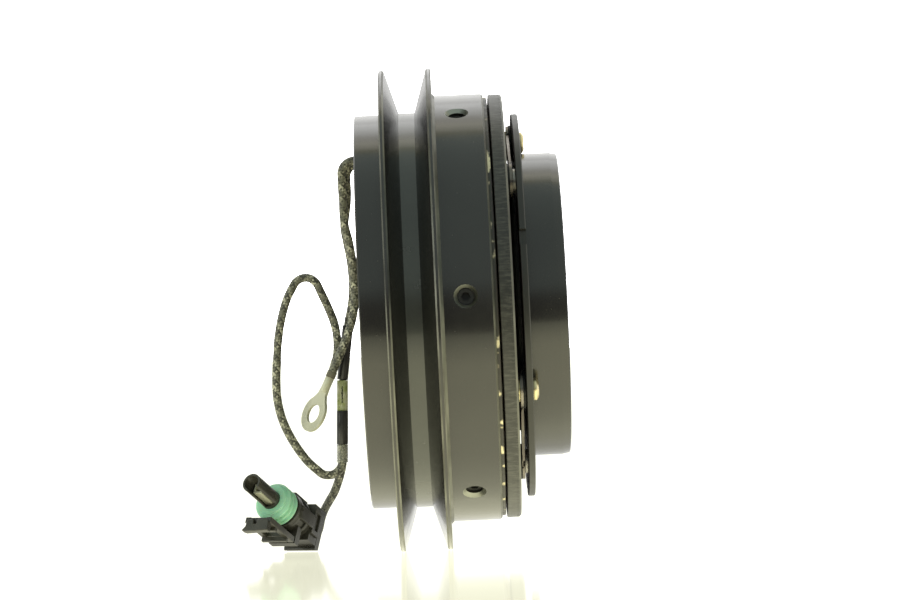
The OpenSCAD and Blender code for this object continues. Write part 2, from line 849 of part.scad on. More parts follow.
module plate_spacers() {
    color([0.15, 0.15, 0.14])
        for (a = plate_rivet_angles)
            difference() {
                axial(a, rivet_circle_r, leaf_x + leaf_t, plate_x, spacer_r);
                axial(a, rivet_circle_r, leaf_x, cup_x, rivet_r);
            }
}

module leaf_springs() {
    reach = 2 * rivet_circle_r * sin(leaf_angle / 2);
    mid_r = rivet_circle_r * cos(leaf_angle / 2);
    color([0.35, 0.32, 0.28])
        for (a = plate_rivet_angles)
            difference() {
                union() {
                    for (b = [a, a - leaf_angle])
                        axial(b, rivet_circle_r, leaf_x, leaf_x + leaf_t, leaf_end_r);
                    at_angle(a - leaf_angle / 2)
                        translate([leaf_x, -reach / 2, mid_r - leaf_waist / 2])
                            cube([leaf_t, reach, leaf_waist]);
                }
                axial(a, rivet_circle_r, leaf_x - 1, plate_x, rivet_r);
                axial(a - leaf_angle, rivet_circle_r, leaf_x - 1, plate_x, rivet_r);
            }
}

// ---- Armature ----

module armature() {
    outer = armature_d / 2;
    color(black_paint)
        difference() {
            turned([
                [armature_x, armature_bore / 2], [armature_x, outer - 0.2], [armature_x + 0.2, outer],
                [armature_end_x - 0.6, outer], [armature_end_x, outer - 0.6],
                [armature_end_x, armature_bore / 2]
            ]);
            for (a = armature_rivet_angles) {
                axial(a, rivet_circle_r, armature_x - 1, armature_end_x + 1, rivet_r);
                axial(a, rivet_circle_r, armature_x - 1, armature_x + 1.6, 4);
            }
            for (a = plate_rivet_angles)
                axial(a, rivet_circle_r, armature_x - 1, armature_end_x + 1, relief_r);
            for (i = [0:2])
                rotate([120 * i, 0, 0])
                    arc_slot(43.4, 45.6, 100, armature_x - 1, armature_end_x + 1);
        }
}

module armature_rivets() {
    color(bare_steel)
        for (a = armature_rivet_angles) {
            axial(a, rivet_circle_r, armature_x, leaf_x, rivet_r);
            axial(a, rivet_circle_r, armature_x, armature_x + 1.6, 4);
            axial(a, rivet_circle_r, leaf_x, leaf_x + leaf_t, rivet_r - rivet_play);
            axial(a, rivet_circle_r, leaf_x + leaf_t, leaf_x + leaf_t + 1.4, rivet_foot_r);
        }
}

module armature_spacers() {
    color([0.15, 0.15, 0.14])
        for (a = armature_rivet_angles)
            difference() {
                axial(a, rivet_circle_r, armature_end_x, leaf_x, leaf_end_r);
                axial(a, rivet_circle_r, armature_x, plate_x, rivet_r);
            }
}

mounting_plate();
coil_shell();
coil_bobbin();
coil_winding();
coil_potting();
lead_grommet();
ground_lead();
power_lead();
diode_lead();
connector_lead();
ring_terminal();
terminal_collar();
splice_sleeve();
splice_crimp();
diode_sleeve();
diode();
clear_sleeve();
connector_housing();
connector_seal();
connector_contact();
wire_seal();
connector_latch();
connector_lock();
pulley_ring();
rotor_body();
rotor_screws();
outer_race();
bearing_seals();
rotor_snap_ring();
ball_cage();
bearing_balls();
hub();
inner_race();
hub_snap_ring();
damper_rubber();
front_cup();
drive_plate();
plate_rivets();
plate_spacers();
leaf_springs();
armature();
armature_rivets();
armature_spacers();
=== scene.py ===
import math

import bmesh
import bpy
import numpy as np
from mathutils import Matrix, Vector, noise


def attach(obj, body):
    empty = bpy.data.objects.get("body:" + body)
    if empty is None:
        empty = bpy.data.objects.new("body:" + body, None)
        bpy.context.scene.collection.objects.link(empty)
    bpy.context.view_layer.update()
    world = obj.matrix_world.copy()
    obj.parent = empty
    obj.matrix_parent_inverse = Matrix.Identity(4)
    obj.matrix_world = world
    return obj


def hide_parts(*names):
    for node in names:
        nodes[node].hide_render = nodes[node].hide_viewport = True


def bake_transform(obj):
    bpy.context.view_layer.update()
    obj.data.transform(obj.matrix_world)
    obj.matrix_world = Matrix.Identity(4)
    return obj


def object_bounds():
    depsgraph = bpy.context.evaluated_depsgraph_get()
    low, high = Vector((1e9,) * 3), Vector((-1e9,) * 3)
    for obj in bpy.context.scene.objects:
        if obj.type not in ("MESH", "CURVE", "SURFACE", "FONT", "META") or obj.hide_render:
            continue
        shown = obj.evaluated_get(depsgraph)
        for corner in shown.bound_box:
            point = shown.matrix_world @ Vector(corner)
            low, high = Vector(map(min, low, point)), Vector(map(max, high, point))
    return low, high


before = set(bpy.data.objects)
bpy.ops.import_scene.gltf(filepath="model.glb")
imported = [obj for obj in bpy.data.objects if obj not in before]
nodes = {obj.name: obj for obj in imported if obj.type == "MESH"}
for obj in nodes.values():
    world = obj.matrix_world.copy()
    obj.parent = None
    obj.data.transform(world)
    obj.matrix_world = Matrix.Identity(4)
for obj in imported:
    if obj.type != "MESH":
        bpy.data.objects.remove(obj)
cad_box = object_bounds()
MM = 0.001

# ---- Camera ----

# The photograph's clutch leans on a prop, so the camera is rolled instead
ROLL = math.radians(2.75)
CAMERA_PLACE = (0.0264, -1.084, 0.0026)
SENSOR_WIDTH = 36
LENS = 136.3
camera = bpy.data.objects.new("camera", bpy.data.cameras.new("camera"))
bpy.context.scene.collection.objects.link(camera)
right = Vector((math.cos(ROLL), 0, -math.sin(ROLL)))
up = Vector((math.sin(ROLL), 0, math.cos(ROLL)))
camera.matrix_world = Matrix((
    (right.x, up.x, 0, CAMERA_PLACE[0]),
    (right.y, up.y, -1, CAMERA_PLACE[1]),
    (right.z, up.z, 0, CAMERA_PLACE[2]),
    (0, 0, 0, 1),
))
camera.data.sensor_width = SENSOR_WIDTH
camera.data.lens = LENS
camera.data.clip_start = 0.01
bpy.context.scene.camera = camera


# ---- Shader helper ----

class Shader:
    """A node material, with short calls for the nodes that its pattern needs."""

    def __init__(self, name):
        self.material = bpy.data.materials.new(name)
        self.material.use_nodes = True
        self.tree = self.material.node_tree
        self.bsdf = next(n for n in self.tree.nodes if n.type == "BSDF_PRINCIPLED")
        self.coords = self.node("ShaderNodeTexCoord")

    def node(self, kind, **settings):
        made = self.tree.nodes.new(kind)
        for key, value in settings.items():
            setattr(made, key, value)
        return made

    def plug(self, value, socket):
        if isinstance(value, bpy.types.NodeSocket):
            self.tree.links.new(value, socket)
        else:
            socket.default_value = value

    def set(self, **values):
        for key, value in values.items():
            if key == "Base_Color" and not isinstance(value, bpy.types.NodeSocket):
                value = (*value, 1)
            self.plug(value, self.bsdf.inputs[key.replace("_", " ")])

    def math(self, operation, *values):
        made = self.node("ShaderNodeMath", operation=operation)
        for value, socket in zip(values, made.inputs):
            self.plug(value, socket)
        return made.outputs[0]

    def vector(self, x, y, z):
        made = self.node("ShaderNodeCombineXYZ")
        for value, socket in zip((x, y, z), made.inputs):
            self.plug(value, socket)
        return made.outputs[0]

    def axes(self, output="Object"):
        split = self.node("ShaderNodeSeparateXYZ")
        self.tree.links.new(self.coords.outputs[output], split.inputs[0])
        return split.outputs

    def round_axis(self):
        """Station along the clutch's axis, radius from it and angle round it."""
        x, y, z = self.axes()
        squares = self.math("ADD", self.math("MULTIPLY", y, y), self.math("MULTIPLY", z, z))
        return x, self.math("SQRT", squares), self.math("ARCTAN2", z, y)

    def turned(self, along, around):
        """Coordinates of a turned surface: fine across the tool marks, and slow along them."""
        x, radius, angle = self.round_axis()
        return self.vector(
            self.math("MULTIPLY", x, along),
            self.math("MULTIPLY", radius, along),
            self.math("MULTIPLY", angle, around),
        )

    def noise(self, scale, detail=4.0, vector=None, rough=0.55):
        made = self.node("ShaderNodeTexNoise")
        made.inputs["Scale"].default_value = scale
        made.inputs["Detail"].default_value = detail
        made.inputs["Roughness"].default_value = rough
        self.plug(vector or self.coords.outputs["Object"], made.inputs["Vector"])
        return made.outputs["Fac"]

    def ramp(self, value, *stops):
        """Colours at places on a scale from 0 to 1."""
        made = self.node("ShaderNodeValToRGB")
        band = made.color_ramp
        while len(band.elements) < len(stops):
            band.elements.new(1)
        for element, (place, colour) in zip(band.elements, stops):
            element.position = place
            element.color = (*colour, 1) if hasattr(colour, "__len__") else (colour, colour, colour, 1)
        self.plug(value, made.inputs[0])
        return made.outputs[0]

    def mix(self, share, a, b):
        made = self.node("ShaderNodeMix", data_type="RGBA")
        self.plug(share, made.inputs[0])
        for value, socket in ((a, made.inputs[6]), (b, made.inputs[7])):
            self.plug((*value, 1) if isinstance(value, tuple) else value, socket)
        return made.outputs[2]

    def bump(self, height, distance, strength=1.0, under=None):
        made = self.node("ShaderNodeBump")
        made.inputs["Strength"].default_value = strength
        made.inputs["Distance"].default_value = distance
        self.plug(height, made.inputs["Height"])
        if under:
            self.plug(under, made.inputs["Normal"])
        self.tree.links.new(made.outputs[0], self.bsdf.inputs["Normal"])
        return made.outputs[0]


def paint_material(name, base, rough, peel, dust=0.3):
    """Gloss paint over a turned surface, with dust and a few pale specks."""
    s = Shader(name)
    tool = s.noise(1, 3, s.turned(1500, 2))
    dusty = tuple(c * 1.8 + 0.008 for c in base)
    tone = s.mix(s.ramp(s.noise(60, 3), (0.35, 0.0), (0.75, dust)), base, dusty)
    speck = s.ramp(s.noise(1500, 2), (0.74, 0.0), (0.80, 0.5))
    s.set(Base_Color=s.mix(speck, tone, (0.22, 0.21, 0.17)))
    s.set(Roughness=s.ramp(s.noise(90, 4), (0.3, rough - 0.03), (0.8, rough + 0.08)))
    s.set(IOR=1.5, Coat_Weight=0.4, Coat_Roughness=0.10)
    s.bump(s.noise(420, 2), peel, 0.5, s.bump(tool, 0.000006, 0.5))
    return s.material


# Metres: where a stamped edge turns from sheared to torn, how far that line wanders, and the edge's radius
BREAK_STATION = 0.0431
BREAK_WANDER = 0.0016
STAMPED_RIM = 0.0665


def stamped_material(name, base, rough):
    """Painted plate whose outer edge keeps the torn grain of the stamping."""
    s = Shader(name)
    x, radius, angle = s.round_axis()
    warp = s.noise(260, 3)
    tear = s.noise(1, 5, s.vector(s.math("MULTIPLY", x, 260), s.math("MULTIPLY", angle, 95),
                                  s.math("MULTIPLY", warp, 1.4)), 0.65)
    wander = s.noise(1, 3, s.vector(0.0, s.math("MULTIPLY", angle, 16), 3.0))
    break_line = s.math("ADD", BREAK_STATION, s.math("MULTIPLY", wander, BREAK_WANDER))
    torn = s.math("GREATER_THAN", x, break_line)
    rim = s.math("GREATER_THAN", radius, STAMPED_RIM)
    fine = s.noise(1, 3, s.vector(s.math("MULTIPLY", x, 2600), s.math("MULTIPLY", angle, 30), 1.0))
    bare = s.math("MULTIPLY", rim, s.ramp(tear, (0.45, 0.0), (0.75, 0.8)))
    s.set(Base_Color=s.mix(bare, base, (0.10, 0.10, 0.085)))
    s.set(Roughness=s.ramp(s.noise(200, 3), (0.3, rough), (0.8, rough + 0.14)), IOR=1.5)
    grain = s.math("MULTIPLY", tear, s.math("ADD", 0.35, torn))
    height = s.math("ADD", grain, s.math("MULTIPLY", fine, 0.05))
    s.bump(s.math("MULTIPLY", height, rim), 0.00022, 0.9)
    return s.material


def painted_shade_glint_material(name, dark, bright):
    """Bare rim painted dark for the shade in a gap between parts, with bright metallic patches that are
    painted glints standing in for broken reflections.
    """
    s = Shader(name)
    patch = s.noise(170, 3)
    share = s.ramp(patch, (0.56, 0.0), (0.62, 1.0))
    s.set(Base_Color=s.mix(share, dark, bright), Metallic=share)
    s.set(Roughness=s.ramp(s.noise(600, 3), (0.3, 0.35), (0.8, 0.55)))
    s.bump(s.noise(900, 3), 0.00005, 0.5)
    return s.material


def metal_material(name, light, dark, rough, along=3200, around=4, depth=0.00003, metallic=1.0):
    """Metal with tool marks round the axis and a cloudy tone."""
    s = Shader(name)
    tool = s.noise(1, 4, s.turned(along, around))
    cloud = s.noise(45, 4)
    s.set(Base_Color=s.mix(s.ramp(cloud, (0.3, 0.0), (0.75, 1.0)), light, dark))
    s.set(Metallic=metallic)
    s.set(Roughness=s.ramp(s.noise(160, 3), (0.3, rough - 0.08), (0.8, rough + 0.12)))
    s.bump(tool, depth, 0.6)
    return s.material


def soft_material(name, base, other, rough, grain=900, depth=0.00004, **extra):
    """Moulded plastic or rubber."""
    s = Shader(name)
    s.set(Base_Color=s.mix(s.ramp(s.noise(140, 4), (0.35, 0.0), (0.75, 1.0)), base, other))
    s.set(Roughness=s.ramp(s.noise(300, 3), (0.3, rough - 0.06), (0.8, rough + 0.12)))
    s.set(**extra)
    s.bump(s.noise(grain, 3), depth, 0.5)
    return s.material


# Strands round a lead in each direction, and the millimetres over which they move on by one strand
STRANDS = 10
LAY = 0.80


def braid_material(name, cream, shade, tracer):
    """Braided sleeving of two families of strands. Some strands are pale, others are dark tracers."""
    s = Shader(name)
    u, v, _ = s.axes("UV")
    turns = s.math("MULTIPLY", u, STRANDS)
    climb = s.math("DIVIDE", v, LAY)
    a, b = s.math("ADD", turns, climb), s.math("SUBTRACT", turns, climb)
    fa, fb = s.math("FLOOR", a), s.math("FLOOR", b)
    over = s.math("FLOORED_MODULO", s.math("ADD", fa, fb), 2)
    under = s.math("SUBTRACT", 1.0, over)
    pale_a = s.math("LESS_THAN", s.math("FLOORED_MODULO", fa, 5), 1.5)
    pale_b = s.math("LESS_THAN", s.math("FLOORED_MODULO", fb, 5), 0.5)
    dark_a = s.math("GREATER_THAN", s.math("FLOORED_MODULO", fa, 5), 2.5)
    dark_b = s.math("GREATER_THAN", s.math("FLOORED_MODULO", fb, 5), 3.5)
    pale = s.math("ADD", s.math("MULTIPLY", over, pale_a), s.math("MULTIPLY", under, pale_b))
    dark = s.math("ADD", s.math("MULTIPLY", over, dark_a), s.math("MULTIPLY", under, dark_b))
    fibre = s.noise(1, 3, s.vector(s.math("MULTIPLY", u, 90), s.math("MULTIPLY", v, 3), 0.0))
    patch = s.ramp(s.noise(260, 4), (0.40, 0.05), (0.62, 0.9))
    deep = tuple(c * 0.55 for c in shade)
    ground = s.mix(s.math("MULTIPLY", dark, 0.85), s.mix(fibre, shade, deep), tracer)
    s.set(Base_Color=s.mix(s.math("MULTIPLY", pale, patch), ground, cream), Roughness=0.5, Sheen_Weight=0.1)
    s.bump(fibre, 0.00008, 0.7)
    return s.material


# Slit in the splice's cover, in metres. The drops are distances below the axis. The lean is a slope.
SLIT_X = -0.01025
SPLICE_DROP = 0.0264
SLIT_LEAN = 0.049
SLIT_WANDER = 0.0007
SLIT_DROP = 0.0262
SLIT_HALF_WIDTH = 0.00019
SLIT_HALF_LENGTH = 0.0027


def splice_material(name, base, other, slit):
    """Translucent cover with a dark slit along its camera side."""
    s = Shader(name)
    x, y, z = s.axes()
    middle = s.math("ADD", SLIT_X, s.math("MULTIPLY", s.math("ADD", z, SPLICE_DROP), SLIT_LEAN))
    wander = s.math("MULTIPLY", s.math("SUBTRACT", s.noise(900, 3), 0.5), SLIT_WANDER)
    off = s.math("ABSOLUTE", s.math("SUBTRACT", s.math("ADD", x, wander), middle))
    along = s.math("ABSOLUTE", s.math("ADD", z, SLIT_DROP))
    across = s.math("LESS_THAN", off, SLIT_HALF_WIDTH)
    within = s.math("LESS_THAN", along, SLIT_HALF_LENGTH)
    near = s.math("MULTIPLY", across, within)
    tone = s.mix(s.ramp(s.noise(260, 4), (0.38, 0.0), (0.66, 1.0)), base, other)
    s.set(Base_Color=s.mix(near, tone, slit), Roughness=0.26, IOR=1.45, Transmission_Weight=0.15)
    s.bump(s.noise(420, 3), 0.00012, 0.6)
    return s.material


# ---- Mesh helpers ----

# Corners closer than this are one corner. Metres.
SAME_PLACE = 1e-7
# Points of a curve between two points of its route
SAMPLES = 24


def finished(name, mesh, body, material, angle=35):
    """Object from a mesh in the shared frame, shaded by angle. It rides on the body, where one is given."""
    work = bmesh.new()
    work.from_mesh(mesh)
    bmesh.ops.remove_doubles(work, verts=work.verts, dist=SAME_PLACE)
    bmesh.ops.recalc_face_normals(work, faces=work.faces)
    work.to_mesh(mesh)
    work.free()
    mesh.polygons.foreach_set("use_smooth", [True] * len(mesh.polygons))
    mesh.set_sharp_from_angle(angle=math.radians(angle))
    obj = bpy.data.objects.new(name, mesh)
    bpy.context.scene.collection.objects.link(obj)
    mesh.materials.append(material)
    if body:
        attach(obj, body)
    return obj


def mesh_from(name, verts, faces):
    mesh = bpy.data.meshes.new(name)
    mesh.from_pydata([tuple(v) for v in verts], [], faces)
    return mesh


def smooth_path(points, step):
    """Points along a Catmull-Rom curve through the route, a fixed step apart. Millimetres."""
    p = np.array(points, float)
    p = np.vstack([2 * p[0] - p[1], p, 2 * p[-1] - p[-2]])
    fine = []
    for i in range(1, len(p) - 2):
        for t in np.linspace(0, 1, SAMPLES, endpoint=False):
            fine.append(0.5 * (
                2 * p[i] + (p[i + 1] - p[i - 1]) * t
                + (2 * p[i - 1] - 5 * p[i] + 4 * p[i + 1] - p[i + 2]) * t ** 2
                + (3 * p[i] - p[i - 1] - 3 * p[i + 1] + p[i + 2]) * t ** 3
            ))
    fine = np.array(fine + [p[-2]])
    run = np.concatenate([[0], np.cumsum(np.linalg.norm(np.diff(fine, axis=0), axis=1))])
    count = max(2, int(round(run[-1] / step)) + 1)
    even = np.linspace(0, run[-1], count)
    return np.stack([np.interp(even, run, fine[:, k]) for k in range(3)], 1), even


def carried_frames(path):
    """Two side vectors at each point of a path, carried along it without twist."""
    tangents = np.gradient(path, axis=0)
    tangents /= np.linalg.norm(tangents, axis=1)[:, None]
    side = np.array([0.1, 1.0, 0.3])
    found = []
    for t in tangents:
        side = side - side.dot(t) * t
        side = side / np.linalg.norm(side)
        found.append(side)
    found = np.array(found)
    return found, np.cross(tangents, found)


def grid_faces(rows, columns):
    """Quads between rings of points, and a cap at each end."""
    faces = []
    for i in range(rows - 1):
        for k in range(columns):
            a, b = i * columns + k, i * columns + (k + 1) % columns
            faces.append((a, b, b + columns, a + columns))
    faces.append(tuple(range(columns - 1, -1, -1)))
    faces.append(tuple(range((rows - 1) * columns, rows * columns)))
    return faces


# How far the strands stand out, the lead's radius varies, and its ends draw in. Millimetres.
STRAND_RELIEF = 0.09
LEAD_WANDER = 0.05
END_TAPER = 0.15


def braided_cord(name, route, diameter, material, sides=40, step=0.2):
    """Mesh tube with the braid's strands raised on it, and its centre line in millimetres."""
    path, run = smooth_path(route, step)
    side, other = carried_frames(path)
    u = np.arange(sides) / sides
    turns = u[None, :] * STRANDS
    climb = run[:, None] / LAY
    a, b = turns + climb, turns - climb
    over = (np.floor(a) + np.floor(b)) % 2
    across = np.where(over > 0.5, a, b) % 1
    lift = STRAND_RELIEF * (np.sin(np.pi * across) ** 0.8 - 0.75)
    seed = sum(map(ord, name))
    slow = np.array([noise.noise(Vector((r * 0.25, seed, 0))) for r in run])[:, None] * LEAD_WANDER
    radius = diameter / 2 + lift + slow
    radius[0] = radius[-1] = diameter / 2 - END_TAPER
    angle = 2 * np.pi * u
    points = (path[:, None, :]
              + (radius * np.cos(angle))[:, :, None] * side[:, None, :]
              + (radius * np.sin(angle))[:, :, None] * other[:, None, :]) * MM
    mesh = mesh_from(name, points.reshape(-1, 3), grid_faces(len(path), sides))
    layer = mesh.uv_layers.new(name="braid")
    values = np.zeros(len(mesh.loops) * 2)
    for face in mesh.polygons:
        if len(face.vertices) != 4:
            continue
        row, column = divmod(face.vertices[0], sides)
        for loop, (c, r) in zip(face.loop_indices, ((0, 0), (1, 0), (1, 1), (0, 1))):
            values[2 * loop] = (column + c) / sides
            values[2 * loop + 1] = run[min(row + r, len(run) - 1)]
    layer.data.foreach_set("uv", values)
    return mesh, path


# ---- Materials ----

gloss_black = paint_material("gloss_black", (0.014, 0.0135, 0.012), 0.20, 0.00001)
# Belt groove's walls: the pulley's paint made darker, painted shade in the groove
groove_painted_shade = paint_material("groove_painted_shade", (0.007, 0.007, 0.0065), 0.30, 0.00002, 0.15)
# Belt groove's floor: the pulley's paint made lighter with a green tint, painted light in the groove
groove_floor_painted_light = paint_material("groove_floor_painted_light", (0.045, 0.049, 0.043), 0.22, 0.00001)
stamped_black = stamped_material("stamped_black", (0.022, 0.022, 0.019), 0.34)
# Friction face's rim: painted shade for the gap between drum and armature, with painted glints
rim_painted_shade_and_glints = painted_shade_glint_material("rim_painted_shade_and_glints", (0.03, 0.028, 0.022), (0.62, 0.56, 0.38))
worn_edge = metal_material("worn_edge", (0.20, 0.20, 0.17), (0.05, 0.05, 0.045), 0.42)
rubbed_ring = metal_material("rubbed_ring", (0.40, 0.41, 0.36), (0.12, 0.12, 0.10), 0.40)
bare_steel = metal_material("bare_steel", (0.55, 0.53, 0.49), (0.36, 0.34, 0.30), 0.34)
plated_steel = metal_material("plated_steel", (0.42, 0.40, 0.34), (0.28, 0.27, 0.235), 0.42, 1500, 3)
race_steel = metal_material("race_steel", (0.74, 0.74, 0.74), (0.62, 0.62, 0.62), 0.18, 4200, 2, 0.00001)
spring_steel = metal_material("spring_steel", (0.34, 0.31, 0.27), (0.20, 0.18, 0.16), 0.38, 900, 60)
black_steel = metal_material("black_steel", (0.05, 0.05, 0.048), (0.025, 0.025, 0.024), 0.42, 1200, 8,
                             metallic=0.6)
brass = metal_material("brass", (0.83, 0.74, 0.46), (0.62, 0.52, 0.27), 0.34, 1400, 20)
tin = metal_material("tin", (0.60, 0.60, 0.47), (0.50, 0.50, 0.38), 0.50, 700, 30, metallic=0.3)
copper = metal_material("copper", (0.62, 0.30, 0.14), (0.42, 0.18, 0.08), 0.34, 4000, 1, 0.00015)
damper = soft_material("damper", (0.022, 0.022, 0.022), (0.042, 0.041, 0.039), 0.62)
epoxy = soft_material("epoxy", (0.035, 0.045, 0.040), (0.055, 0.060, 0.055), 0.40, 260, 0.0002)
nylon = soft_material("nylon", (0.80, 0.78, 0.70), (0.72, 0.70, 0.62), 0.45)
braid = braid_material("braid", (0.56, 0.55, 0.42), (0.17, 0.17, 0.125), (0.030, 0.030, 0.023))
collar_cloth = soft_material("collar_cloth", (0.075, 0.068, 0.050), (0.16, 0.15, 0.11), 0.75, 1400, 0.0001)
black_sleeve = soft_material("black_sleeve", (0.012, 0.012, 0.013), (0.028, 0.028, 0.028), 0.34,
                             500, 0.0001)
olive_splice = splice_material("olive_splice", (0.30, 0.36, 0.12), (0.62, 0.62, 0.48),
                               (0.012, 0.014, 0.008))
clear_plastic = soft_material("clear_plastic", (0.86, 0.86, 0.78), (0.76, 0.77, 0.68), 0.16, 420, 0.0001,
                              Transmission_Weight=0.85, IOR=1.4)
diode_body = soft_material("diode_body", (0.03, 0.03, 0.03), (0.05, 0.05, 0.05), 0.4)
connector_plastic = soft_material("connector_plastic", (0.028, 0.027, 0.021), (0.055, 0.053, 0.042), 0.30,
                                  1300, 0.00003)
green_rubber = soft_material("green_rubber", (0.27, 0.60, 0.38), (0.38, 0.70, 0.50), 0.42, 700, 0.00003,
                             Subsurface_Weight=0.15, Subsurface_Scale=0.001)

NODE_MATERIAL = {
    "mounting_plate": plated_steel, "coil_shell": plated_steel, "coil_bobbin": nylon,
    "coil_winding": copper, "coil_potting": epoxy, "lead_grommet": damper, "diode": diode_body,
    "connector_housing": connector_plastic, "connector_seal": green_rubber, "connector_contact": tin,
    "wire_seal": green_rubber, "connector_latch": connector_plastic,
    "connector_lock": connector_plastic, "pulley_ring": gloss_black, "rotor_body": bare_steel,
    "rotor_screws": black_steel, "outer_race": race_steel, "bearing_seals": damper,
    "rotor_snap_ring": spring_steel, "ball_cage": brass, "bearing_balls": race_steel, "hub": bare_steel,
    "inner_race": race_steel, "hub_snap_ring": spring_steel, "damper_rubber": damper,
    "front_cup": gloss_black, "drive_plate": stamped_black, "plate_rivets": brass,
    "plate_spacers": black_steel, "leaf_springs": spring_steel, "armature": stamped_black,
    "armature_rivets": bare_steel, "armature_spacers": black_steel, "ring_terminal": tin,
    "terminal_collar": collar_cloth, "splice_sleeve": black_sleeve, "splice_crimp": olive_splice,
    "diode_sleeve": black_sleeve, "clear_sleeve": clear_plastic, "ground_lead": braid,
    "power_lead": braid, "diode_lead": braid, "connector_lead": braid,
}
for name, material in NODE_MATERIAL.items():
    mesh = nodes[name].data
    mesh.materials.clear()
    mesh.materials.append(material)


def paint_faces(name, material, wanted):
    """Second material on the faces whose station along the axis and radius are wanted. Millimetres."""
    obj = nodes[name]
    mesh = obj.data
    mesh.materials.append(material)
    index = len(mesh.materials) - 1
    for face in mesh.polygons:
        corners = [obj.matrix_world @ mesh.vertices[v].co / MM for v in face.vertices]
        radii = [math.hypot(c.y, c.z) for c in corners]
        if wanted(min(c.x for c in corners), max(c.x for c in corners), min(radii), max(radii)):
            face.material_index = index


def small_edge(x0, x1, r0, r1):
    return 0.05 < x1 - x0 < 0.9 and 0.05 < r1 - r0 < 0.9


def groove_wall(x0, x1, r0, r1):
    return 8 < x0 and x1 < 22.5 and 62 < r0 < 75.7 and r1 - r0 > 5


def groove_bottom(x0, x1, r0, r1):
    return 12 < x0 and x1 < 18 and 61 < r0 and r1 < 63


def pulley_chamfer(x0, x1, r0, r1):
    return small_edge(x0, x1, r0, r1) and r0 > 66


def screw_countersink(x0, x1, r0, r1):
    return 26 < x0 and x1 < 35.5 and 65.9 < r0 < 67.35


# Faces of the friction face's rim, which take the painted shade and painted glints
def friction_rim(x0, x1, r0, r1):
    return x0 > 38.7 and r0 > 66


def armature_chamfer(x0, x1, r0, r1):
    return small_edge(x0, x1, r0, r1) and x0 > 43 and r0 > 66


# Painted shade on the belt groove's walls
paint_faces("pulley_ring", groove_painted_shade, groove_wall)
# Painted light on the belt groove's floor
paint_faces("pulley_ring", groove_floor_painted_light, groove_bottom)
paint_faces("pulley_ring", worn_edge, pulley_chamfer)
paint_faces("pulley_ring", rubbed_ring, screw_countersink)
# The friction face's rim gets the painted shade and painted glints
paint_faces("rotor_body", rim_painted_shade_and_glints, friction_rim)
paint_faces("armature", worn_edge, armature_chamfer)

# ---- Rounded edges on the CAD pieces that are sharp there ----

ROUNDED = {
    "connector_housing": 0.18, "connector_lock": 0.15, "connector_seal": 0.22, "connector_contact": 0.08,
    "ring_terminal": 0.22, "terminal_collar": 0.4, "splice_crimp": 0.35, "diode_sleeve": 0.12,
    "splice_sleeve": 0.12, "plate_rivets": 0.35, "armature_rivets": 0.2, "plate_spacers": 0.12,
    "armature_spacers": 0.12, "lead_grommet": 0.2,
}
WELD_GAP = 1e-6
SHARP_ANGLE = 38


def round_edges(obj, width):
    """Weld the corners, then round every edge sharper than a limit. The width is in millimetres."""
    weld = obj.modifiers.new("weld", "WELD")
    weld.merge_threshold = WELD_GAP
    bevel = obj.modifiers.new("round", "BEVEL")
    bevel.width = width * MM
    bevel.segments = 2
    bevel.limit_method = "ANGLE"
    bevel.angle_limit = math.radians(SHARP_ANGLE)


for name, width in ROUNDED.items():
    round_edges(nodes[name], width)

# ---- Leaf springs: each runs between the hub and the armature, split off the CAD node and cut across into segments ----

RIVET_R = 51.3
LEAF_ANGLE = 42
LEAF_MIDDLE_X = 46.4
PLATE_RIVET_ANGLES = (90, 210, 330)
LEAF_CUTS = 12


def on_circle(degrees, x):
    """Place on the rivet circle. Degrees start at the camera's side, and 90 is the top."""
    a = math.radians(degrees)
    return Vector((x, -RIVET_R * math.cos(a), RIVET_R * math.sin(a))) * MM


for number, plate_angle in enumerate(PLATE_RIVET_ANGLES, 1):
    start = on_circle(plate_angle, LEAF_MIDDLE_X)
    end = on_circle(plate_angle - LEAF_ANGLE, LEAF_MIDDLE_X)
    reach = end - start
    middle = (start + end) / 2
    work = bmesh.new()
    work.from_mesh(nodes["leaf_springs"].data)
    work.transform(nodes["leaf_springs"].matrix_world)
    far = [v for v in work.verts if (v.co - middle).length > reach.length]
    bmesh.ops.delete(work, geom=far, context="VERTS")
    bmesh.ops.remove_doubles(work, verts=work.verts, dist=SAME_PLACE)
    for k in range(1, LEAF_CUTS):
        bmesh.ops.bisect_plane(work, geom=work.verts[:] + work.edges[:] + work.faces[:],
                               plane_co=start + reach * k / LEAF_CUTS, plane_no=reach)
    mesh = bpy.data.meshes.new("leaf_spring_%d" % number)
    work.to_mesh(mesh)
    work.free()
    leaf = finished("leaf_spring_%d" % number, mesh, None, spring_steel)
    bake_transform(leaf)
    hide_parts("leaf_springs")

# ---- Connector: latch arm with its head, and the details of the housing ----

CONN_POS = Vector((-34.1, 6, -58.3))
CONN_TILT = math.radians(60.7)
CONN_TURN = math.radians(241.1)
connector_frame = (Matrix.Translation(CONN_POS) @ Matrix.Rotation(CONN_TURN, 4, "Z")
                   @ Matrix.Rotation(CONN_TILT, 4, "Y"))


def bar(x0, x1, y0, y1, z0, z1):
    """Box in the connector's frame, as vertices and faces."""
    verts = [(x, y, z) for x in (x0, x1) for y in (y0, y1) for z in (z0, z1)]
    return verts, [(0, 1, 3, 2), (4, 6, 7, 5), (0, 4, 5, 1), (2, 3, 7, 6), (0, 2, 6, 4), (1, 5, 7, 3)]


def prism(outline, z0, z1):
    """Solid from an outline of [y, x] points, between two stations along the connector."""
    n = len(outline)
    verts = [(x, y, z) for z in (z0, z1) for y, x in outline]
    faces = [tuple(range(n)), tuple(range(2 * n - 1, n - 1, -1))]
    return verts, faces + [(k, k + n, (k + 1) % n + n, (k + 1) % n) for k in range(n)]


